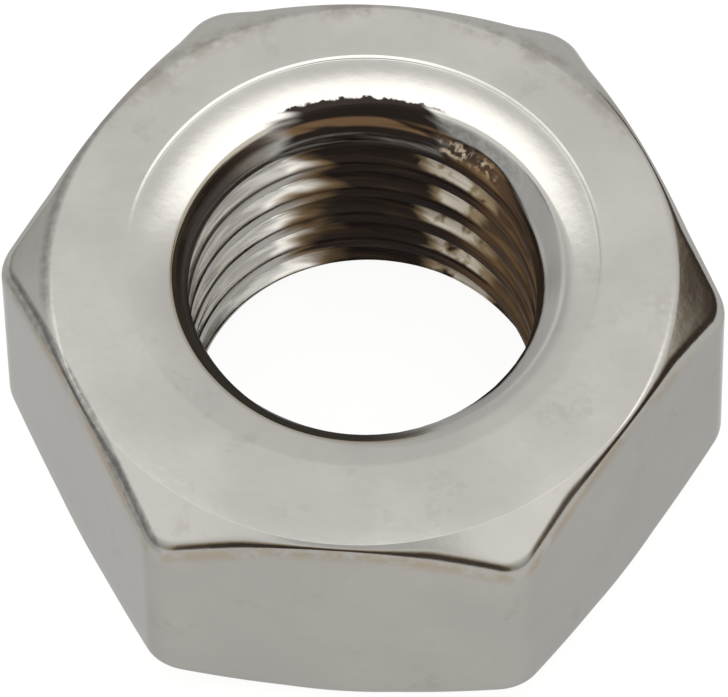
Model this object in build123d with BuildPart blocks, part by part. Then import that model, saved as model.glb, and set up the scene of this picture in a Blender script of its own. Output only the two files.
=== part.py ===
from build123d import *
from build123d.topology import SkipClean

import math
import os

os.makedirs("parts", exist_ok=True)

# Hex nut, M8 x 1 fine thread, cold formed and plated. Millimetres and degrees.
# The origin is the centre of the lower bearing face and +Z runs along the thread.
# Two of the six flats face +Y and -Y, and two of the six corners lie on the X axis.

# Hexagon
across_flats = 13.0
nut_height = 6.14
corner_radius = 0.8

# Bearing faces: outside each circle a slightly domed cone takes the corners off
top_face_diameter = 12.74
bottom_face_diameter = 12.4
corner_slope = 30.0
corner_dome_radius = 20.0
face_edge_radius = 0.3

# Shallow round step that the forming punch leaves in the top face, a little off centre
step_diameter = 9.75
step_depth = 0.05
step_shift = 0.325

# Internal right-hand thread with the 60 degree metric profile
major_diameter = 8.0
minor_diameter = 7.08
pitch = 1.0
flank_angle = 30.0
groove_lift = 0.65  # height of a groove's middle on the +X side, above z = 0

# Countersinks at both ends of the thread, rolled over into the bearing faces
sink_slope = 45.0
top_mouth_diameter = 8.4
top_mouth_roll = 0.7
bottom_mouth_diameter = 8.45
bottom_mouth_roll = 0.35

# The bore is cut in equal sectors, so that each thread crest is a chain of short faces
bore_sectors = 8

# How far cutting shapes stand past the metal they cut
overcut = 0.5
groove_lip = 0.1

# Worked out from the sizes above
minor_radius = minor_diameter / 2
major_radius = major_diameter / 2
outer_radius = across_flats / math.sqrt(3) + overcut
corner_fall = math.tan(math.radians(corner_slope))
sink_fall = math.tan(math.radians(sink_slope))
step_radius = step_diameter / 2
step_floor = nut_height - step_depth
sector_angle = 360 / bore_sectors


def turned_section():
    """Half section of the turned blank, whose cones take the corners off the hexagon."""
    top_radius = top_face_diameter / 2
    bottom_radius = bottom_face_diameter / 2
    top_rim = nut_height - (outer_radius - top_radius) * corner_fall
    bottom_rim = (outer_radius - bottom_radius) * corner_fall
    with BuildSketch(Plane.XZ) as section:
        with BuildLine():
            RadiusArc((bottom_radius, 0), (outer_radius, bottom_rim), -corner_dome_radius)
            Line((outer_radius, bottom_rim), (outer_radius, top_rim))
            RadiusArc((outer_radius, top_rim), (top_radius, nut_height), -corner_dome_radius)
            Polyline((top_radius, nut_height), (0, nut_height), (0, 0), (bottom_radius, 0))
        make_face()
        rims = section.vertices().filter_by(lambda v: v.X in (top_radius, bottom_radius))
        fillet(rims, radius=face_edge_radius)
    return section.sketch


def sink_section(mouth_radius, floor, roll, outward):
    """Half section of a countersink; outward is 1 at the top end and -1 at the bottom."""
    rim_radius = mouth_radius + 1.1 * roll * math.tan(math.radians(sink_slope / 2))
    with BuildSketch(Plane.XZ) as section:
        with BuildLine():
            Polyline(
                (0, floor - outward * mouth_radius * sink_fall),
                (mouth_radius, floor),
                (rim_radius, floor),
                (rim_radius, floor + outward * overcut),
                (0, floor + outward * overcut),
                close=True,
            )
        make_face()
        mouth = section.vertices().sort_by_distance((mouth_radius, floor, 0))[0]
        fillet(mouth, radius=roll)
    return section.sketch


def step_section():
    """Half section of the shallow step, whose wall slopes at 45 degrees."""
    with BuildSketch(Plane.XZ) as section:
        with BuildLine():
            Polyline(
                (0, step_floor),
                (step_radius - step_depth, step_floor),
                (step_radius + overcut, nut_height + overcut),
                (0, nut_height + overcut),
                close=True,
            )
        make_face()
    return section.sketch


# Thread cutter: half a turn of the groove, swept along a helix that starts on the +X side
groove_inner = minor_radius - groove_lip
root_half = pitch / 16
inner_half = root_half + (major_radius - groove_inner) * math.tan(math.radians(flank_angle))

with BuildPart() as groove:
    with BuildLine():
        Helix(pitch=pitch, height=pitch / 2, radius=minor_radius)
    with BuildSketch(Plane.XZ):
        with BuildLine():
            Polyline(
                (groove_inner, -inner_half),
                (major_radius, -root_half),
                (major_radius, root_half),
                (groove_inner, inner_half),
                close=True,
            )
        make_face()
    sweep(is_frenet=True)

with BuildPart() as hex_nut:
    # Hexagonal bar with rounded corners, its ends turned to shallow cones
    with BuildSketch() as hexagon:
        RegularPolygon(radius=across_flats / 2, side_count=6, major_radius=False)
        fillet(hexagon.vertices(), radius=corner_radius)
    extrude(amount=nut_height)
    revolve(turned_section(), axis=Axis.Z, mode=Mode.INTERSECT)

    # Off-centre step in the top face
    step_axis = Axis((0, step_shift, 0), (0, 0, 1))
    revolve(Location((0, step_shift, 0)) * step_section(), axis=step_axis, mode=Mode.SUBTRACT)

    # Countersinks
    top_sink = sink_section(top_mouth_diameter / 2, step_floor, top_mouth_roll, outward=1)
    bottom_sink = sink_section(bottom_mouth_diameter / 2, 0, bottom_mouth_roll, outward=-1)
    revolve([top_sink, bottom_sink], axis=Axis.Z, mode=Mode.SUBTRACT)

    # Bore, then the thread groove in half turns, both without merging the faces they leave
    with BuildSketch(Plane.XZ) as bore_half:
        with Locations((0, nut_height / 2)):
            Rectangle(minor_radius, nut_height + overcut, align=(Align.MIN, Align.CENTER))
    with SkipClean():
        for sector in range(bore_sectors):
            half = Rotation(0, 0, sector * sector_angle) * bore_half.sketch
            revolve(half, Axis.Z, sector_angle, clean=False, mode=Mode.SUBTRACT)
        for half_turn in range(-4, math.ceil(2 * nut_height / pitch) + 1):
            height = groove_lift + half_turn * pitch / 2
            with Locations(Location((0, 0, height), (0, 0, half_turn * 180))):
                add(groove.part, clean=False, mode=Mode.SUBTRACT)

hex_nut.part.label = "hex_nut"
export_step(hex_nut.part, "parts/hex_nut.step")
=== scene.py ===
import math

import bpy
import numpy as np
from mathutils import Matrix, Vector


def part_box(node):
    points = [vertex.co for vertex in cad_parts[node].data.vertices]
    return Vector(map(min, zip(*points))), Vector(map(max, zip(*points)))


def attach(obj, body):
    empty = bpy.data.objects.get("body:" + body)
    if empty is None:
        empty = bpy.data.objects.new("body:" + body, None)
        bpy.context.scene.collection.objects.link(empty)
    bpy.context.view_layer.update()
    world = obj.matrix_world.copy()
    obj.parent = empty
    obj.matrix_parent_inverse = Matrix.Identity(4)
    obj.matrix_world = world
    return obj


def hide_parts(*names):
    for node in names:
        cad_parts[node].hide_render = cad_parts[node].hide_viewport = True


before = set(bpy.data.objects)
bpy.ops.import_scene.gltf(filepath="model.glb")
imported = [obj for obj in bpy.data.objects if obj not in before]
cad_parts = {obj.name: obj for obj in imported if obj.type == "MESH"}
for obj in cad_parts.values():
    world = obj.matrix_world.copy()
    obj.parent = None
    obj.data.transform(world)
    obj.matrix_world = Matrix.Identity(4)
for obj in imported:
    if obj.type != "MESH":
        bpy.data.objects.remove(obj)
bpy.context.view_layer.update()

MM = 0.001

# ---------------------------------------------------------------------------
# Sizes of the nut, in metres. Height and width come from the frame.
# ---------------------------------------------------------------------------
nut_low, nut_high = (Vector(corner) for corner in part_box("hex_nut"))
HEIGHT = nut_high.z - nut_low.z
APOTHEM = (nut_high.y - nut_low.y) / 2

CORNER_ROUND = 0.80 * MM        # plan radius of the six vertical edges
TOP_RIM = 6.37 * MM             # radius where the flat of the top face ends
BOTTOM_RIM = 6.20 * MM
CORNER_SLOPE = math.radians(30)
RIM_ROUND = 0.35 * MM           # soft edge between a face and its corner cone
CRISP_RIM_ROUND = 0.01 * MM     # the same at the front of the top face
EDGE_ROUND = 0.55 * MM          # soft edge between a corner cone and a flat
WORN_EDGE_ROUND = 0.95 * MM     # the same at the two worn corners at the back

STEP_RADIUS = 4.875 * MM        # shallow round step in the top face
STEP_SHIFT = (0, 0.325 * MM)
STEP_BRIM = (0.056 * MM, 0.017 * MM)    # width and fall of the step's gentle outer slope
STEP_WALL = (0.022 * MM, 0.014 * MM)    # width and fall of the short wall below it
STEP_ROUND = 0.03 * MM
STEP_LEAST = 0.10               # share of the step's depth that is left in front
DISH_EDGE = 5.05 * MM           # inside this radius the top face falls towards the mouth
DISH_CURVE = 0.128 / MM
DISH_LEAST = 0.25               # share of that fall that is left in front

PITCH = 1.0 * MM
MAJOR = 4.0 * MM
MINOR = 3.54 * MM
FLANK = math.radians(30)
ROOT_HALF = PITCH / 16
GROOVE_LIFT = 0.65 * MM         # height of a groove's middle on the +X side
CREST_ROUND = 0.12 * MM
ROOT_ROUND = 0.09 * MM
RUNOUT = 0.22 * MM              # height over which the groove grows shallow at the top
WORN_RUNOUT = 0.60 * MM         # the same on the right
RUNOUT_BLEND = 0.05 * MM        # how softly the thread fades into a countersink
THREAD_FADE = 0.04 * MM         # how soon past the countersink the thread's own dirt and painted shade begin
OILY_LIP = 0.20 * MM            # how far that border climbs the countersink on the right

TOP_MOUTH = 4.02 * MM           # edge of the top countersink, a little off centre
TOP_MOUTH_SHIFT = (0.13 * MM, 0.08 * MM)
TOP_MOUTH_ROUND = 0.14 * MM
WORN_MOUTH_ROUND = 0.55 * MM    # the same where the edge is rolled over
TOP_SINK_DEPTH = 0.12 * MM      # the thread's own mesh starts this far inside the mouth
WORN_SINK_DEPTH = 0.34 * MM
TOP_SINK_SLOPE = math.tan(math.radians(42))
BOTTOM_MOUTH = 4.225 * MM
BOTTOM_MOUTH_ROUND = 0.40 * MM
SINK_END = MAJOR - 0.10 * MM    # radius on the bottom cone where the thread has run out

# Sides of the nut on which a shape changes. Each is the angle of its middle, in degrees about
# the axis from +X, and the cosines from there at which the change begins and is complete.
DISHED_SIDE = (90, -0.6, 0.3)
DEEP_STEP_SIDE = (82, -0.15, 0.45)
ROLLED_MOUTH_SIDE = (-35, 0.3, 0.9)
CRISP_RIM_SIDE = (-90, 0.25, 0.60)
WORN_EDGE_SIDE = (90, 0.55, 0.80)
OILY_SIDE = (20, 0.1, 0.6)
LONG_RUNOUT_SIDE = (-10, 0.45, 0.85)

# Mesh density
CORNER_COLUMNS = 12
FLAT_COLUMNS = 38
CROWDING = 0.1                  # how much the columns of a flat crowd towards its corners
END_MARGIN = 0.015 * MM         # least height between a thread row and either end of the thread


# ---------------------------------------------------------------------------
# Outline helpers
# ---------------------------------------------------------------------------
def smooth_step(value, start, end):
    share = np.clip((value - start) / (end - start), 0, 1)
    return share * share * (3 - 2 * share)


def on_side(angles, side):
    """1 on one side of the nut and 0 on the other, blended between the side's two cosines."""
    middle, begin, complete = side
    return smooth_step(np.cos(angles - math.radians(middle)), begin, complete)


def between(low, high, share):
    return low + (high - low) * share


def column_angles():
    """Angles about the thread axis, close together round each corner of the hexagon."""
    centre = (APOTHEM - CORNER_ROUND) / math.cos(math.pi / 6)
    side = math.pi / 3
    arc = np.linspace(-math.pi / 6, math.pi / 6, CORNER_COLUMNS + 1)
    corner = np.arctan2(CORNER_ROUND * np.sin(arc), centre + CORNER_ROUND * np.cos(arc))
    end = corner[-1]
    share = np.linspace(0, 1, FLAT_COLUMNS + 1)[1:-1]
    crowded = share - CROWDING * np.sin(2 * math.pi * share)
    flat = end + (side - 2 * end) * crowded
    one_side = np.concatenate([corner, flat])
    return np.concatenate([one_side + k * side for k in range(6)])


def hexagon_radius(angles):
    """Distance from the axis to the rounded hexagon, whose corners lie at 0, 60, ... degrees."""
    centre = (APOTHEM - CORNER_ROUND) / math.cos(math.pi / 6)
    from_corner = np.abs((angles + math.pi / 6) % (math.pi / 3) - math.pi / 6)
    on_flat = APOTHEM / np.cos(math.pi / 6 - from_corner)
    inside = np.maximum(CORNER_ROUND**2 - (centre * np.sin(from_corner)) ** 2, 0)
    on_arc = centre * np.cos(from_corner) + np.sqrt(inside)
    arc_end = math.atan2(CORNER_ROUND / 2, centre + CORNER_ROUND * math.cos(math.pi / 6))
    return np.where(from_corner < arc_end, on_arc, on_flat)


def off_centre_radius(angles, radius, shift):
    """Distance from the thread's axis to a circle whose centre stands off it by shift."""
    along = shift[0] * np.cos(angles) + shift[1] * np.sin(angles)
    across = shift[1] * np.cos(angles) - shift[0] * np.sin(angles)
    return along + np.sqrt(radius**2 - across**2)


def rounded_path(points, corners, runs):
    """Rows of (radius, height) along points, each inner corner turned into an arc.

    points are pairs of arrays over the columns. A corner is its radius, the most of the
    stretches before and after it that it may take, and its number of steps. runs gives the
    steps of each straight stretch."""
    points = [np.stack(np.broadcast_arrays(r, z), -1).astype(float) for r, z in points]
    entries, exits, bends = [points[0]], [], []
    for k, (radius, before_share, after_share, arc_steps) in enumerate(corners, start=1):
        before, here, after = points[k - 1], points[k], points[k + 1]
        back, ahead = before - here, after - here
        back_length = np.linalg.norm(back, axis=-1)
        ahead_length = np.linalg.norm(ahead, axis=-1)
        back = back / back_length[..., None]
        ahead = ahead / ahead_length[..., None]
        half_turn = (math.pi - np.arccos(np.clip((back * ahead).sum(-1), -1, 1))) / 2
        reach = radius * np.tan(half_turn)
        reach = np.minimum(reach, np.minimum(before_share * back_length, after_share * ahead_length))
        reach = reach[..., None]
        start, end = here + back * reach, here + ahead * reach
        weight = np.cos(half_turn)[..., None]
        bend = []
        for s in np.linspace(0, 1, arc_steps + 1)[1:-1]:
            pull = 2 * s * (1 - s) * weight
            bend.append(((1 - s) ** 2 * start + pull * here + s**2 * end) / ((1 - s) ** 2 + pull + s**2))
        exits.append(start)
        entries.append(end)
        bends.append(bend)
    exits.append(points[-1])
    rows = []
    for k, steps in enumerate(runs):
        for s in np.linspace(0, 1, steps + 1):
            rows.append(entries[k] * (1 - s) + exits[k] * s)
        if k < len(bends):
            rows.extend(bends[k])
    return np.array(rows)


def shell_rows(angles):
    """Rows of the nut's outside, from within the top countersink round to the bottom one."""
    outside = hexagon_radius(angles)
    slope = math.tan(CORNER_SLOPE)
    step = off_centre_radius(angles, STEP_RADIUS, STEP_SHIFT)
    mouth = off_centre_radius(angles, TOP_MOUTH, TOP_MOUTH_SHIFT)
    # The punch stood a little askew, so its step is deepest at the back and fades in front
    depth = between(STEP_LEAST, 1, on_side(angles, DEEP_STEP_SIDE))
    brim = HEIGHT - STEP_BRIM[1] * depth
    floor = brim - STEP_WALL[1] * depth
    level = HEIGHT - STEP_BRIM[1] - STEP_WALL[1]
    rolled = on_side(angles, ROLLED_MOUTH_SIDE)
    sink = between(TOP_SINK_DEPTH, WORN_SINK_DEPTH, rolled)
    ones = np.ones_like(angles)
    points = [
        (mouth - sink, level - sink * TOP_SINK_SLOPE),
        (mouth, level),
        (step - STEP_BRIM[0] - STEP_WALL[0], floor),
        (step - STEP_BRIM[0], brim),
        (step, HEIGHT),
        (TOP_RIM * ones, HEIGHT),
        (outside, HEIGHT - (outside - TOP_RIM) * slope),
        (outside, (outside - BOTTOM_RIM) * slope),
        (BOTTOM_RIM * ones, 0),
        (BOTTOM_MOUTH * ones, 0),
        (SINK_END * ones, BOTTOM_MOUTH - SINK_END),
    ]
    mouth_round = between(TOP_MOUTH_ROUND, WORN_MOUTH_ROUND, rolled)
    rim_round = between(RIM_ROUND, CRISP_RIM_ROUND, on_side(angles, CRISP_RIM_SIDE))
    edge_round = between(EDGE_ROUND, WORN_EDGE_ROUND, on_side(angles, WORN_EDGE_SIDE))
    corners = [
        (mouth_round, 0.94, 0.46, 12),
        (STEP_ROUND, 0.1, 0.46, 3),
        (STEP_ROUND, 0.46, 0.46, 3),
        (STEP_ROUND, 0.46, 0.3, 3),
        (rim_round, 0.3, 0.25, 6),
        (edge_round, 0.7, 0.46, 10),
        (EDGE_ROUND, 0.46, 0.7, 10),
        (RIM_ROUND, 0.25, 0.3, 6),
        (BOTTOM_MOUTH_ROUND, 0.46, 0.9, 8),
    ]
    rows = rounded_path(points, corners, runs=[1, 8, 1, 1, 5, 3, 8, 3, 6, 1])
    top = rows[..., 1] > HEIGHT / 2
    rows[..., 1] -= np.where(top, dish_fall(np.maximum(rows[..., 0], mouth), angles), 0)
    return rows


def dish_fall(radius, angles):
    """How far the top face has fallen towards the mouth; it falls most at the back."""
    most = DISH_CURVE * np.maximum(DISH_EDGE - radius, 0) ** 2
    return most * between(DISH_LEAST, 1, on_side(angles, DISHED_SIDE))


def thread_profile():
    """(height, radius) pairs over one pitch, from one crest's middle up to the next one's."""
    crest = PITCH / 2 - ROOT_HALF - (MAJOR - MINOR) * math.tan(FLANK)
    points = [
        (0, MINOR),
        (crest, MINOR),
        (PITCH / 2 - ROOT_HALF, MAJOR),
        (PITCH / 2 + ROOT_HALF, MAJOR),
        (PITCH - crest, MINOR),
        (PITCH, MINOR),
    ]
    corners = [
        (CREST_ROUND, 0.9, 0.46, 5),
        (ROOT_ROUND, 0.46, 0.46, 3),
        (ROOT_ROUND, 0.46, 0.46, 3),
        (CREST_ROUND, 0.46, 0.9, 5),
    ]
    points = [(np.array([z]), r) for z, r in points]
    rows = rounded_path(points, corners, runs=[1, 6, 1, 6, 1])
    return rows[:-1, 0, :]


def soft_larger(a, b):
    """The larger of two lengths, with the crease between them rounded."""
    near = max(1 - abs(a - b) / RUNOUT_BLEND, 0)
    return max(a, b) + near**2 * RUNOUT_BLEND / 4


# ---------------------------------------------------------------------------
# The nut's mesh: rings outside, rows that follow the helix inside
# ---------------------------------------------------------------------------
class NutMesh:
    """Vertices and faces of the nut, and what the plating has to know at each vertex."""

    def __init__(self):
        self.verts = []
        self.faces = []
        self.threaded = []  # 0 outside the thread and 1 in it
        # Millimetres inwards along the countersink from the lip where the thread's dirt and painted shade
        # begin
        self.past_lip = []

    def vertex(self, radius, angle, height, threaded=0.0, past_lip=-1.0):
        self.verts.append((radius * math.cos(angle), radius * math.sin(angle), height))
        self.threaded.append(threaded)
        self.past_lip.append(past_lip)
        return len(self.verts) - 1

    def strip(self, left, right):
        """Faces between two chains of vertices that run upwards side by side."""
        a, b = 0, 0
        while a < len(left) - 1 or b < len(right) - 1:
            left_ahead, right_ahead = len(left) - a, len(right) - b
            if left_ahead == right_ahead:
                self.faces.append((left[a], left[a + 1], right[b + 1], right[b]))
                a, b = a + 1, b + 1
            elif left_ahead > right_ahead:
                self.faces.append((left[a], left[a + 1], right[b]))
                a += 1
            else:
                self.faces.append((left[a], right[b + 1], right[b]))
                b += 1

    def shell(self, angles):
        """Rings round the outside; returns the first and last of them and their rows."""
        rows = shell_rows(angles)
        rings = [
            [self.vertex(radius, angle, height) for angle, (radius, height) in zip(angles, row)]
            for row in rows
        ]
        for high, low in zip(rings[:-1], rings[1:]):
            for i in range(len(angles)):
                k = (i + 1) % len(angles)
                self.faces.append((high[i], low[i], low[k], high[k]))
        return rings[0], rings[-1], rows

    def thread_column(self, angle, top_radius, top_end, bottom_end):
        """Vertices of one column, each by the number of its row: rows climb a pitch each turn."""
        dirty = MINOR + OILY_LIP * on_side(angle, OILY_SIDE)
        runout = between(RUNOUT, WORN_RUNOUT, on_side(angle, LONG_RUNOUT_SIDE))
        lift = GROOVE_LIFT - PITCH / 2 + PITCH * angle / (2 * math.pi)
        first = math.floor((bottom_end - lift) / PITCH) - 1
        profile = thread_profile()
        column = {}
        for turn in range(first, first + int(HEIGHT / PITCH) + 3):
            for p, (rise, radius) in enumerate(profile):
                height = lift + turn * PITCH + rise
                if not bottom_end + END_MARGIN < height < top_end - END_MARGIN:
                    continue
                radius = between(MINOR, radius, smooth_step(top_end - height, 0, runout))
                sink = top_radius - (top_end - height) / TOP_SINK_SLOPE
                threaded = smooth_step(max(radius, dirty) - sink, 0, THREAD_FADE)
                radius = soft_larger(radius, sink)
                radius = soft_larger(radius, bottom_end + SINK_END - height)
                number = turn * len(profile) + p
                column[number] = self.vertex(radius, angle, height, threaded, (dirty - sink) / MM)
        return column

    def thread(self, angles, top_ring, bottom_ring, rows):
        """The helical rows, joined to the first and last ring of the shell."""
        bottom_end = rows[-1, 0, 1]
        inner = [
            self.thread_column(angle, top_radius, top_end, bottom_end)
            for angle, (top_radius, top_end) in zip(angles, rows[0])
        ]
        per_pitch = len(thread_profile())
        for i, left in enumerate(inner):
            k = (i + 1) % len(inner)
            right = inner[k]
            if k == 0:  # one turn on, the same row has climbed a pitch
                right = {number - per_pitch: vertex for number, vertex in right.items()}
            low = max(min(left), min(right))
            high = min(max(left), max(right))
            for j in range(low, high):
                self.faces.append((left[j], left[j + 1], right[j + 1], right[j]))
            self.strip(
                [left[j] for j in sorted(left) if j >= high] + [top_ring[i]],
                [right[j] for j in sorted(right) if j >= high] + [top_ring[k]],
            )
            self.strip(
                [bottom_ring[i]] + [left[j] for j in sorted(left) if j <= low],
                [bottom_ring[k]] + [right[j] for j in sorted(right) if j <= low],
            )

    def finished(self):
        mesh = bpy.data.meshes.new("nut")
        mesh.from_pydata(self.verts, [], self.faces)
        for name, values in (("threaded", self.threaded), ("past_lip", self.past_lip)):
            mesh.attributes.new(name, "FLOAT", "POINT").data.foreach_set("value", values)
        mesh.polygons.foreach_set("use_smooth", [True] * len(mesh.polygons))
        mesh.update()
        return mesh


def nut_mesh():
    nut = NutMesh()
    angles = column_angles()
    top_ring, bottom_ring, rows = nut.shell(angles)
    nut.thread(angles, top_ring, bottom_ring, rows)
    return nut.finished()


# ---------------------------------------------------------------------------
# Material helpers
# ---------------------------------------------------------------------------
class Tree:
    """A node tree with short ways to add nodes and join them."""

    def __init__(self, tree):
        self.tree = tree
        tree.nodes.clear()

    def node(self, kind, inputs=None, **settings):
        made = self.tree.nodes.new(kind)
        for name, value in settings.items():
            setattr(made, name, value)
        for name, value in (inputs or {}).items():
            self.feed(made.inputs[name], value)
        return made

    def feed(self, socket, value):
        if isinstance(value, bpy.types.NodeSocket):
            self.tree.links.new(value, socket)
        else:
            socket.default_value = value

    def math(self, operation, a, b=0.0):
        return self.node("ShaderNodeMath", {0: a, 1: b}, operation=operation).outputs[0]

    def vector_math(self, operation, inputs):
        return self.node("ShaderNodeVectorMath", inputs, operation=operation).outputs[0]

    def combine(self, x, y, z):
        return self.node("ShaderNodeCombineXYZ", {0: x, 1: y, 2: z}).outputs[0]

    def attribute(self, name):
        return self.node("ShaderNodeAttribute", attribute_name=name).outputs["Fac"]

    def product(self, first, *others):
        for other in others:
            first = self.math("MULTIPLY", first, other)
        return first

    def total(self, first, *others):
        for other in others:
            first = self.math("ADD", first, other)
        return first

    def rest(self, share):
        return self.math("SUBTRACT", 1.0, share)

    def length(self, x, y):
        return self.math("SQRT", self.total(self.product(x, x), self.product(y, y)))

    def noise(self, place, scale, detail=3.0, rough=0.5):
        made = self.node(
            "ShaderNodeTexNoise", {"Vector": place, "Scale": scale, "Detail": detail, "Roughness": rough}
        )
        return made.outputs["Fac"]

    def ease(self, value, start, end, low=0.0, high=1.0):
        """value taken smoothly from low at start to high at end."""
        made = self.node(
            "ShaderNodeMapRange",
            {"Value": value, "From Min": start, "From Max": end, "To Min": low, "To Max": high},
            interpolation_type="SMOOTHSTEP",
        )
        return made.outputs["Result"]

    def band(self, value, low_out, low_in, high_in, high_out):
        """1 where value lies between low_in and high_in, 0 outside low_out and high_out."""
        return self.product(self.ease(value, low_out, low_in), self.ease(value, high_out, high_in))

    def mix(self, share, a, b):
        made = self.node("ShaderNodeMix", data_type="RGBA")
        self.feed(made.inputs["Factor"], share)
        self.feed(made.inputs["A"], a)
        self.feed(made.inputs["B"], b)
        return made.outputs["Result"]


def grey(value, warm=0.0):
    """A grey as bright as value. With warm above 0 it is a little redder and less blue."""
    return (value * (1 + warm), value, value * (1 - 1.6 * warm), 1)


# ---------------------------------------------------------------------------
# Plating
# ---------------------------------------------------------------------------
# Colours of the plate and its wear, and painted shade and highlight on it
HAZED_PLATE = (0.360, 0.349, 0.324, 1)
CLEAN_PLATE = (0.388, 0.376, 0.347, 1)
SMUDGE = (0.30, 0.285, 0.255, 1)
PIT = (0.16, 0.13, 0.10, 1)
EDGE_TAN_BAND = (0.30, 0.235, 0.145, 1)
# painted shade along the edges of the top face
EDGE_SHADE = (0.150, 0.145, 0.136, 1)
RIM_SMEAR = (0.235, 0.212, 0.178, 1)
SCUFFED_PLATE = (0.62, 0.61, 0.58, 1)
# painted highlight on the lip of the countersink on the right
LIP_HIGHLIGHT = (0.56, 0.55, 0.52, 1)

# Colours in the thread and its countersink
# painted shade in the roots of the thread
ROOT_SHADE = (0.12, 0.105, 0.09, 1)
STREAK_GRIME = (0.17, 0.15, 0.13, 1)
# painted highlight, a glint on the thread's flanks
GLINT = (0.80, 0.78, 0.72, 1)
DARK_BRONZE = (0.062, 0.038, 0.023, 1)
BRONZE = (0.145, 0.090, 0.047, 1)
AMBER = (0.17, 0.112, 0.058, 1)
# painted black reflection, in the oil at the back of the thread
OILY_BLACK_REFLECTION = (0.026, 0.019, 0.016, 1)
OIL_STREAK = (0.11, 0.072, 0.043, 1)
TAN_WEAR = (0.26, 0.195, 0.115, 1)
PALE_WEAR = (0.56, 0.51, 0.42, 1)
# painted shadow in a ring inside that lip
RING_SHADOW = (0.035, 0.026, 0.021, 1)
# painted dark reflection, made oily, in the countersink from the left round to the front
OILY_DARK_REFLECTION = (0.040, 0.028, 0.022, 1)
RIM_STAIN = (0.27, 0.225, 0.15, 1)
THIN_SOOT = (0.105, 0.100, 0.094, 1)
TORN_SOOT = (0.020, 0.015, 0.013, 1)
TORN_STREAK = (0.15, 0.092, 0.050, 1)
TORN_SCUFF = (0.19, 0.18, 0.168, 1)

# Where each kind of dirt, painted shade, painted highlight and painted reflection lies. Two numbers are
# where it begins and where it is complete, and four are the borders of a band: begins, complete,
# complete, ends. Sectors are in degrees about the axis from +X, and all else is in millimetres.

# Thread
RAGGEDNESS = 34.0               # how far noise moves the borders of its sectors
FIRST_TURN = (5.25, 4.95)       # from the height of the first turn down to the others
FLANK_RADII = (3.57, 3.64, 3.92, 3.99)
ROOT_RADII = (3.82, 3.98)
OIL_AND_REFLECTION_SECTOR = (-80, -45, 110, 124)
WORN_SECTOR = (44, 52, 72, 78)
WORN_CORE = (52, 60, 69, 74)
BLACK_REFLECTION_SECTOR = (48, 70)         # where bronze oil gives way to painted black reflection
AMBER_SECTOR = (104, 113)       # and where that reflection gives way to amber oil
GLINT_SECTOR = (110, 114, 118, 126)

# Countersink: only the one at the top has dirt and painted light
SINK_HEIGHT = (4.0, 4.6)
SINK_RADII = (4.02, 3.92)
RING_SECTOR = (-80, -60, 26, 44)
RING_PAST_LIP = (0.03, 0.06, 0.13, 0.22)
LIP_PAST_LIP = (-0.06, -0.02, 0.01, 0.04)
SCUFFED_SECTOR = (-88, -60, 48, 66)
DENSELY_SCUFFED = (10, -8)      # towards the front the scuffs grow denser
SOOT_RIGHT = (22, 64)
SOOT_BACK = (90, 76)
OILY_DARK_REFLECTION_LEFT = (114, 132)
OILY_DARK_REFLECTION_FRONT = (-62, -80)
OILY_DARK_REFLECTION_RADII = (3.98, 3.95)
OILY_DARK_REFLECTION_BODY = (3.74, 3.86)     # inside this the painted dark reflection is thinner
OILY_DARK_REFLECTION_Y = (-2.5, 1.0)         # and so it is in front of this
STAINED_RIM_RADII = (4.10, 4.02)
STAINED_RIM_HEIGHT = (5.7, 5.9)

# Torn stretch of the countersink
TORN_SECTOR = (66, 71, 117, 125)
TORN_RADII = (4.27, 4.22)
TORN_RAGGEDNESS = 0.22          # how far noise moves its outer border
TORN_HEIGHT = (5.30, 5.45)
TORN_STREAK_RADII = (3.74, 3.79, 3.88, 3.93)
TORN_SCUFF_RADII = (3.53, 3.56, 3.64, 3.68)

# Edges of the top face. A reach is the distance from the axis, square to a flat.
EDGE_HEIGHT = (5.3, 5.6)
TAN_BAND_BELOW_EDGE = (-0.55, -0.15)
TAN_BAND_REACH = (6.42, 6.49)
TAN_BAND_Y = (-0.5, -2.5)
SHADE_REACH = (6.24, 6.31, 6.44, 6.49)
SHADE_X = (-3.0, -3.4)
SHADE_Y = (0.3, -0.6)
CORNER_SHADE_RADII = (6.28, 6.40, 6.46, 6.62)
CORNER_SHADE_X = (-4.9, -5.6)
CORNER_SHADE_Y = (-1.6, -0.8)
SMEAR_RADII = (5.9, 6.3, 6.45, 6.75)
SMEAR_Y = (2.6, 4.6)

# Pits in the plate
PIT_CELLS = 0.85                # cells a millimetre, with at most one pit in each
PIT_RADIUS = 0.07               # the largest, in cells
PIT_SLOPE = 0.03                # width of a pit's wall, in cells


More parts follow.
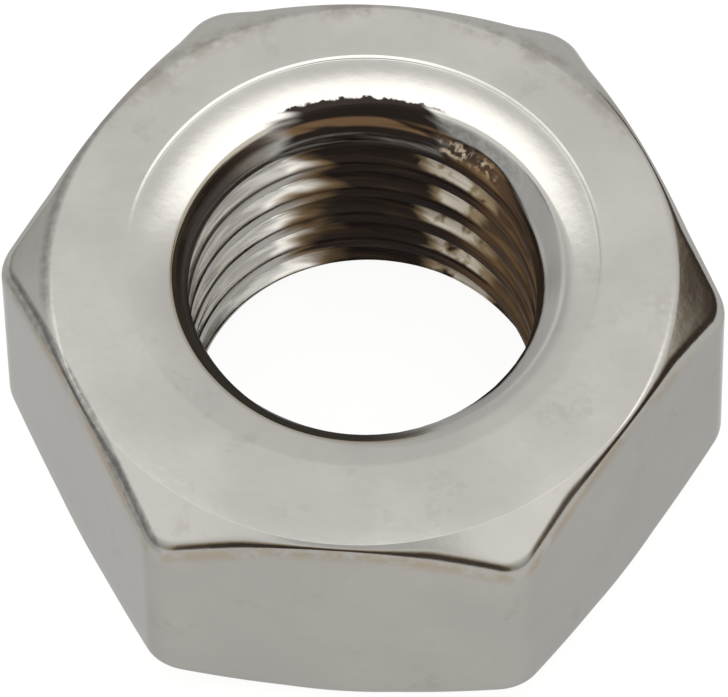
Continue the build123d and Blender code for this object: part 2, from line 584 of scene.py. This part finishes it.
class Places:
    """Where a point of the nut lies, in millimetres and degrees, and the noises the dirt and the painted
    light share.
    """

    def __init__(self, t):
        at = t.node("ShaderNodeTexCoord").outputs["Object"]
        self.at = t.vector_math("SCALE", {0: at, "Scale": 1 / MM})
        self.x, self.y, self.z = t.node("ShaderNodeSeparateXYZ", {0: self.at}).outputs
        self.radius = t.length(self.x, self.y)
        self.angle = t.math("DEGREES", t.math("ARCTAN2", self.y, self.x))
        self.from_mouth = t.length(
            t.math("SUBTRACT", self.x, TOP_MOUTH_SHIFT[0] / MM),
            t.math("SUBTRACT", self.y, TOP_MOUTH_SHIFT[1] / MM),
        )
        self.threaded = t.attribute("threaded")
        self.past_lip = t.attribute("past_lip")

        self.haze = t.noise(self.at, 0.35, 5, 0.6)
        self.smudge = t.noise(self.at, 0.9, 4, 0.7)
        self.grain = t.noise(self.at, 6.0, 3, 0.55)
        self.streaks = self.round_noise(t, 2.4, 3.0, 2)
        self.fine_streaks = self.round_noise(t, 2.0, 8.0, 3)
        shift = t.product(t.math("SUBTRACT", self.streaks, 0.5), RAGGEDNESS)
        self.ragged_angle = t.total(self.angle, shift)

    def round_noise(self, t, along, across, detail):
        """Noise drawn out round the thread: its scales along a turn and across it."""
        unit_x = t.math("DIVIDE", self.x, self.radius)
        unit_y = t.math("DIVIDE", self.y, self.radius)
        turn = t.vector_math("MULTIPLY", {0: t.combine(unit_x, unit_y, 0.0), 1: (along, along, 0)})
        layer = t.combine(self.radius, 0.0, self.z)
        stretched = t.vector_math("MULTIPLY_ADD", {0: layer, 1: (across, 0, across), 2: turn})
        return t.noise(stretched, 1.0, detail)


def thread_oil_and_reflection(t, p, flank):
    """Oil in the thread. Going round from the right it is bronze, worn tan, a painted black reflection and
    amber.
    """
    patches = t.noise(p.at, 2.6, 2, 0.5)
    specks = t.math("MAXIMUM", t.ease(t.noise(p.at, 8.0, 3), 0.46, 0.66), t.ease(p.z, *FIRST_TURN))
    worn = t.product(t.band(p.ragged_angle, *WORN_SECTOR), t.ease(patches, 0.32, 0.42), flank, specks)
    core = t.product(
        t.band(p.ragged_angle, *WORN_CORE),
        t.ease(patches, 0.40, 0.52),
        t.ease(p.z, *FIRST_TURN, 0.35, 1.0),
    )
    bronze = t.mix(t.ease(p.fine_streaks, 0.42, 0.60), DARK_BRONZE, BRONZE)
    # Painted black reflection in the oil towards the back
    oil_and_dark_reflection = t.mix(t.ease(p.ragged_angle, *BLACK_REFLECTION_SECTOR), bronze, OILY_BLACK_REFLECTION)
    oil_and_dark_reflection = t.mix(t.ease(p.fine_streaks, 0.50, 0.68, 0.0, 0.30), oil_and_dark_reflection, OIL_STREAK)
    oil_and_dark_reflection = t.mix(worn, oil_and_dark_reflection, t.mix(core, TAN_WEAR, PALE_WEAR))
    return t.mix(t.ease(p.ragged_angle, *AMBER_SECTOR), oil_and_dark_reflection, AMBER)


def thread_dirt_and_painted_light(t, p, colour):
    """The thread: silver with some grime on the -X side, painted shade towards its roots and a painted
    glint on its flanks, oiled at the back and on the right.
    """
    flank = t.band(p.radius, *FLANK_RADII)
    oil_and_reflection_mask = t.product(p.threaded, t.band(p.ragged_angle, *OIL_AND_REFLECTION_SECTOR))
    # Painted shade: the thread grows darker towards the roots of its grooves
    root = t.product(p.threaded, t.ease(p.radius, *ROOT_RADII, 0.0, 0.6))
    grime = t.product(p.threaded, t.ease(p.fine_streaks, 0.45, 0.66, 0.0, 0.35))
    # Painted highlight: a bright glint on the flanks where the oil ends
    glint = t.product(p.threaded, t.band(p.ragged_angle, *GLINT_SECTOR), flank)
    colour = t.mix(root, colour, ROOT_SHADE)
    colour = t.mix(grime, colour, STREAK_GRIME)
    colour = t.mix(glint, colour, GLINT)
    return t.mix(oil_and_reflection_mask, colour, thread_oil_and_reflection(t, p, flank)), oil_and_reflection_mask


def countersink_right(t, p, colour, oil_and_reflection_mask):
    """A ring of painted shadow and a painted highlight on the lip where the thread begins, scuffs above
    them, and thin soot.
    """
    # Painted shadow in a ring just inside the lip, and a painted highlight on the lip itself
    sector = t.band(p.angle, *RING_SECTOR)
    ring = t.product(t.band(p.past_lip, *RING_PAST_LIP), sector)
    ring = t.product(ring, t.ease(p.fine_streaks, 0.2, 0.5, 0.7, 1.0))
    lip = t.product(t.band(p.past_lip, *LIP_PAST_LIP), sector)
    colour = t.mix(ring, colour, RING_SHADOW)
    colour = t.mix(lip, colour, LIP_HIGHLIGHT)
    oil_and_reflection_mask = t.product(oil_and_reflection_mask, t.rest(lip))

    in_sink = t.product(t.ease(p.from_mouth, *SINK_RADII), t.ease(p.z, *SINK_HEIGHT))
    scuffed = t.product(
        t.band(p.angle, *SCUFFED_SECTOR),
        t.ease(p.angle, *DENSELY_SCUFFED, 0.55, 1.0),
        in_sink,
        t.rest(t.math("MAXIMUM", p.threaded, ring)),
    )
    colour = t.mix(scuffed, colour, SCUFFED_PLATE)

    # The soot thins out from the torn stretch at the back towards the right
    sooty = t.product(
        t.ease(p.ragged_angle, *SOOT_RIGHT, 0.0, 0.75),
        t.ease(p.ragged_angle, *SOOT_BACK),
        in_sink,
        t.ease(p.grain, 0.30, 0.62, 0.7, 1.0),
        t.rest(p.threaded),
    )
    return t.mix(sooty, colour, THIN_SOOT), oil_and_reflection_mask, scuffed


def countersink_left(t, p, colour, oil_and_reflection_mask):
    """A painted dark reflection in the countersink, from the left round to the front, made oily, and a tan
    stain on its rim.
    """
    left = t.ease(p.ragged_angle, *OILY_DARK_REFLECTION_LEFT)
    sector = t.math("MAXIMUM", left, t.ease(p.ragged_angle, *OILY_DARK_REFLECTION_FRONT))
    # Painted dark reflection, given the oil's finish through the mask it returns
    oil_and_dark_reflection = t.product(
        sector,
        t.ease(p.from_mouth, *OILY_DARK_REFLECTION_RADII),
        t.rest(p.threaded),
        t.ease(p.z, *SINK_HEIGHT),
        t.ease(p.y, *OILY_DARK_REFLECTION_Y, 0.7, 1.0),
        t.ease(p.fine_streaks, 0.25, 0.5, 0.75, 1.0),
        t.ease(p.from_mouth, *OILY_DARK_REFLECTION_BODY, 0.55, 1.0),
    )
    rim = t.product(t.ease(p.from_mouth, *STAINED_RIM_RADII), t.ease(p.z, *STAINED_RIM_HEIGHT), sector, 0.5)
    colour = t.mix(rim, colour, RIM_STAIN)
    colour = t.mix(oil_and_dark_reflection, colour, OILY_DARK_REFLECTION)
    return colour, t.math("MAXIMUM", oil_and_reflection_mask, t.product(oil_and_dark_reflection, 0.8))


def edge_marks_and_shade(t, p, colour):
    """A tan band, painted shade and brown smears along the edges of the top face."""
    # Tan band on the flats, just below the edges round the front
    edge_height = t.product(t.math("SUBTRACT", p.radius, TOP_RIM / MM), -math.tan(CORNER_SLOPE))
    below_edge = t.math("SUBTRACT", t.math("SUBTRACT", p.z, HEIGHT / MM), edge_height)
    slanted = t.total(
        t.product(t.math("ABSOLUTE", p.x), math.cos(math.pi / 6)),
        t.product(t.math("ABSOLUTE", p.y), math.sin(math.pi / 6)),
    )
    from_axis = t.math("MAXIMUM", slanted, t.math("ABSOLUTE", p.y))
    tan_band = t.product(
        t.ease(below_edge, *TAN_BAND_BELOW_EDGE),
        t.ease(from_axis, *TAN_BAND_REACH),
        t.ease(p.y, *TAN_BAND_Y, 0.0, 0.55),
        t.ease(p.smudge, 0.36, 0.54),
    )
    colour = t.mix(tan_band, colour, EDGE_TAN_BAND)

    # Painted grey shade along the left edge in front, and on the rim at the left corner
    on_edge = t.product(
        t.band(slanted, *SHADE_REACH), t.ease(p.y, *SHADE_Y), t.ease(p.x, *SHADE_X)
    )
    on_rim = t.product(
        t.band(p.radius, *CORNER_SHADE_RADII),
        t.ease(p.y, *CORNER_SHADE_Y),
        t.ease(p.x, *CORNER_SHADE_X),
        0.8,
    )
    shaded = t.product(
        t.math("MAXIMUM", on_edge, on_rim),
        t.ease(p.z, *EDGE_HEIGHT),
        t.ease(p.grain, 0.25, 0.65, 0.35, 0.75),
    )
    colour = t.mix(shaded, colour, EDGE_SHADE)

    # Brown smears along the rim at the back
    smear = t.product(
        t.band(p.radius, *SMEAR_RADII),
        t.ease(p.y, *SMEAR_Y),
        t.ease(p.z, *EDGE_HEIGHT),
        t.ease(p.smudge, 0.44, 0.62, 0.0, 0.55),
    )
    return t.mix(smear, colour, RIM_SMEAR)


def torn_sink(t, p, colour, oil_and_reflection_mask):
    """The torn, blackened stretch of the countersink at the back, with a brown streak along it."""
    ragged_radius = t.total(p.radius, t.product(t.math("SUBTRACT", p.grain, 0.5), TORN_RAGGEDNESS))
    torn = t.product(
        t.ease(ragged_radius, *TORN_RADII),
        t.ease(p.z, *TORN_HEIGHT),
        t.band(p.ragged_angle, *TORN_SECTOR),
    )
    streak = t.product(t.band(p.radius, *TORN_STREAK_RADII), t.ease(p.streaks, 0.40, 0.55))
    scuff = t.product(t.band(p.radius, *TORN_SCUFF_RADII), t.ease(p.fine_streaks, 0.35, 0.6))
    soot = t.mix(streak, TORN_SOOT, TORN_STREAK)
    soot = t.mix(scuff, soot, TORN_SCUFF)
    return t.mix(torn, colour, soot), t.math("MAXIMUM", oil_and_reflection_mask, torn), t.product(torn, scuff)


def plating_material():
    """Bright plate: mirror-like with haze, pits and smudges, oil, soot and wear in the thread, and painted
    shade, highlights and dark reflections.
    """
    material = bpy.data.materials.new("bright_plating")
    material.use_nodes = True
    t = Tree(material.node_tree)
    p = Places(t)

    colour = t.mix(t.ease(p.haze, 0.35, 0.7), HAZED_PLATE, CLEAN_PLATE)
    colour = t.mix(t.ease(p.smudge, 0.57, 0.72, 0.0, 0.42), colour, SMUDGE)
    colour, oil_and_reflection_mask = thread_dirt_and_painted_light(t, p, colour)
    colour, oil_and_reflection_mask, scuffed = countersink_right(t, p, colour, oil_and_reflection_mask)
    colour, oil_and_reflection_mask = countersink_left(t, p, colour, oil_and_reflection_mask)
    colour = edge_marks_and_shade(t, p, colour)
    colour, oil_and_reflection_mask, torn_scuff = torn_sink(t, p, colour, oil_and_reflection_mask)

    cells = t.node("ShaderNodeTexVoronoi", {"Vector": p.at, "Scale": PIT_CELLS, "Randomness": 1.0})
    pit_size = t.product(t.ease(t.noise(p.at, 0.8, 1), 0.5, 0.7), PIT_RADIUS)
    pit = t.ease(t.math("SUBTRACT", cells.outputs["Distance"], pit_size), 0.0, -PIT_SLOPE)
    colour = t.mix(t.product(pit, 0.6), colour, PIT)

    roughness = t.total(
        t.ease(p.haze, 0.3, 0.75, 0.13, 0.20),
        t.product(oil_and_reflection_mask, 0.14),
        t.product(p.threaded, t.ease(p.fine_streaks, 0.35, 0.65, 0.04, 0.20)),
        t.product(scuffed, 0.35),
        t.product(torn_scuff, 0.25),
    )
    scratches = t.product(p.threaded, t.math("SUBTRACT", p.fine_streaks, 0.5), 2.2)
    relief = t.total(t.product(p.grain, 0.35), t.product(p.haze, 1.2), scratches)
    relief = t.math("SUBTRACT", relief, pit)
    bump = t.node("ShaderNodeBump", {"Strength": 0.28, "Distance": 0.02 * MM, "Height": relief})
    shader = t.node(
        "ShaderNodeBsdfPrincipled",
        {
            "Base Color": colour,
            "Metallic": t.rest(t.product(oil_and_reflection_mask, 0.35)),
            "Roughness": roughness,
            "Specular IOR Level": t.math("SUBTRACT", 0.5, t.product(oil_and_reflection_mask, 0.42)),
            "Specular Tint": t.mix(oil_and_reflection_mask, grey(0.66), grey(0.2)),
            "Normal": bump.outputs[0],
        },
    )
    t.node("ShaderNodeOutputMaterial", {"Surface": shader.outputs[0]})
    return material


# ---------------------------------------------------------------------------
# Studio
# ---------------------------------------------------------------------------
CAMERA_TURN = 5.5               # degrees from -Y towards +X
CAMERA_RISE = 59.4
CAMERA_ROLL = math.radians(-1.2)
CAMERA_REACH = 35.33 * APOTHEM
CAMERA_TARGET = Vector((-0.026, 0.280, 0)) * APOTHEM
CAMERA_LENS = 544.7
CAMERA_CLIP = (0.01, 20)

# Brightness of the light tent
HORIZON = 0.55
TENT = 1.38                     # at the top
OVERHEAD = 3.1                  # of the three panels high up in it
BACKDROP = 0.93                 # of what the camera sees of it, and of the floor
# Panels of the tent, bright and dull: turn, rise, the radii in degrees inside which a panel is
# full and outside which it has ended, and its brightness
PANELS = (
    (180, 89, 9, 26, OVERHEAD),
    (-118, 72, 8, 22, OVERHEAD),
    (118, 72, 8, 22, OVERHEAD),
    (-72, 54, 14, 30, 1.5),
    (62, 54, 12, 26, 1.6),
    (5.5, 59, 10, 20, 0.9),
    (180, 4, 30, 60, 1.0),
    (-88, 20, 7, 16, 0.42),
)
# Gaps through which the brown room shows, low in front and to the right: turn, rise, the same two
# radii, and the width of the tan border
DARK_GAPS = (
    (-10, 12, 11, 18, 8),
    (15, 13, 12, 20, 8),
    (88, 13, 18, 24, 6),
    (118, 8, 18, 25, 4),
    (140, 2, 14, 19, 2),
)
BROWN = (0.075, 0.055, 0.042, 1)
TAN = (0.62, 0.52, 0.38, 1)

FLOOR_REACH = 1.5
FLOOR_WARMTH = 0.004


def towards(turn, rise):
    """Unit vector towards a place turn degrees round from -Y to +X and rise degrees up."""
    turn, rise = math.radians(turn), math.radians(rise)
    return Vector((math.sin(turn) * math.cos(rise), -math.cos(turn) * math.cos(rise), math.sin(rise)))


def make_camera():
    back = towards(CAMERA_TURN, CAMERA_RISE)
    right = Vector((0, 0, 1)).cross(back).normalized()
    up = back.cross(right)
    cos_roll, sin_roll = math.cos(CAMERA_ROLL), math.sin(CAMERA_ROLL)
    right, up = cos_roll * right + sin_roll * up, cos_roll * up - sin_roll * right
    data = bpy.data.cameras.new("camera")
    data.sensor_width = 36
    data.lens = CAMERA_LENS
    data.clip_start, data.clip_end = CAMERA_CLIP
    camera = bpy.data.objects.new("camera", data)
    bpy.context.collection.objects.link(camera)
    turned = Matrix((right, up, back)).transposed().to_4x4()
    camera.matrix_world = Matrix.Translation(CAMERA_TARGET + CAMERA_REACH * back) @ turned
    bpy.context.scene.camera = camera


def make_world():
    """A light tent: pale all round, brightest overhead, dark where the room shows through it."""
    world = bpy.data.worlds.new("studio")
    world.use_nodes = True
    bpy.context.scene.world = world
    t = Tree(world.node_tree)
    direction = t.node("ShaderNodeTexCoord").outputs["Generated"]

    def panel(light, turn, rise, inner, outer, colour):
        near = t.node(
            "ShaderNodeVectorMath", {0: direction, 1: towards(turn, rise)}, operation="DOT_PRODUCT"
        ).outputs["Value"]
        inner, outer = math.cos(math.radians(inner)), math.cos(math.radians(outer))
        return t.mix(t.ease(near, outer, inner), light, colour)

    height = t.node("ShaderNodeSeparateXYZ", {0: direction}).outputs["Z"]
    light = t.mix(t.ease(height, 0.0, 0.85), grey(HORIZON), grey(TENT))
    for turn, rise, inner, outer, brightness in PANELS:
        light = panel(light, turn, rise, inner, outer, grey(brightness))
    for turn, rise, inner, outer, border in DARK_GAPS:
        light = panel(light, turn, rise, inner + border, outer + border, TAN)
    for turn, rise, inner, outer, _ in DARK_GAPS:
        light = panel(light, turn, rise, inner, outer, BROWN)
    seen = t.node("ShaderNodeLightPath").outputs["Is Camera Ray"]
    light = t.mix(seen, light, grey(BACKDROP))
    background = t.node("ShaderNodeBackground", {"Color": light, "Strength": 1.0})
    t.node("ShaderNodeOutputWorld", {"Surface": background.outputs[0]})


def floor_material():
    """A pale sheet lit from below as well as from the tent."""
    material = bpy.data.materials.new("pale_floor")
    material.use_nodes = True
    t = Tree(material.node_tree)
    shader = t.node(
        "ShaderNodeBsdfPrincipled",
        {
            "Base Color": grey(0.10, FLOOR_WARMTH),
            "Roughness": 0.8,
            "Specular IOR Level": 0.0,
            "Emission Color": grey(1.0, FLOOR_WARMTH),
            "Emission Strength": BACKDROP,
        },
    )
    t.node("ShaderNodeOutputMaterial", {"Surface": shader.outputs[0]})
    return material


def make_floor():
    mesh = bpy.data.meshes.new("floor")
    corners = [(-1, -1), (1, -1), (1, 1), (-1, 1)]
    mesh.from_pydata([(x * FLOOR_REACH, y * FLOOR_REACH, 0) for x, y in corners], [], [(0, 1, 2, 3)])
    floor = bpy.data.objects.new("floor", mesh)
    floor.location.z = nut_low.z
    bpy.context.collection.objects.link(floor)
    mesh.materials.append(floor_material())


def make_nut():
    nut = bpy.data.objects.new("plated_nut", nut_mesh())
    bpy.context.collection.objects.link(nut)
    nut.data.materials.append(plating_material())
    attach(nut, "root")
    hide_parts("hex_nut")


make_camera()
make_world()
make_floor()
make_nut()
bpy.context.scene.view_settings.view_transform = "Standard"
